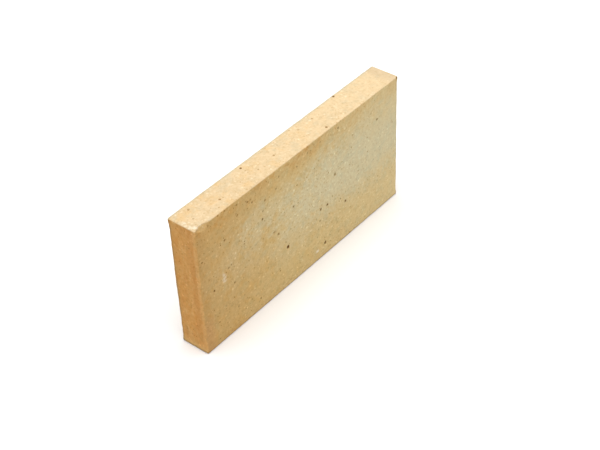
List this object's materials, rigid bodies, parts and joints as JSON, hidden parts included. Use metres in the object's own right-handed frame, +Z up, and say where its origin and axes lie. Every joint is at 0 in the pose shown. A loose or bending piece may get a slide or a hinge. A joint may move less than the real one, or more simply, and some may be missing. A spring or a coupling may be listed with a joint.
{
  "type": "refractory firebrick",
  "caption": "Thin rectangular fired-clay refractory brick with lightly rounded arrises and a small corner chip, for lining hearths, stoves and ovens.",
  "frame": {"origin": "middle of the long narrow face that the brick stands on", "axes": "+X along the length, +Y through the thickness away from the front face, +Z up across the width"},
  "size_m": [0.23, 0.025, 0.114],
  "materials": {
    "fired_clay": "matt buff fireclay, speckled with iron spots and pale grog, toasted orange at the ends"
  },
  "bodies": {
    "root": {"firebrick": "fired_clay"}
  },
  "joints": []
}
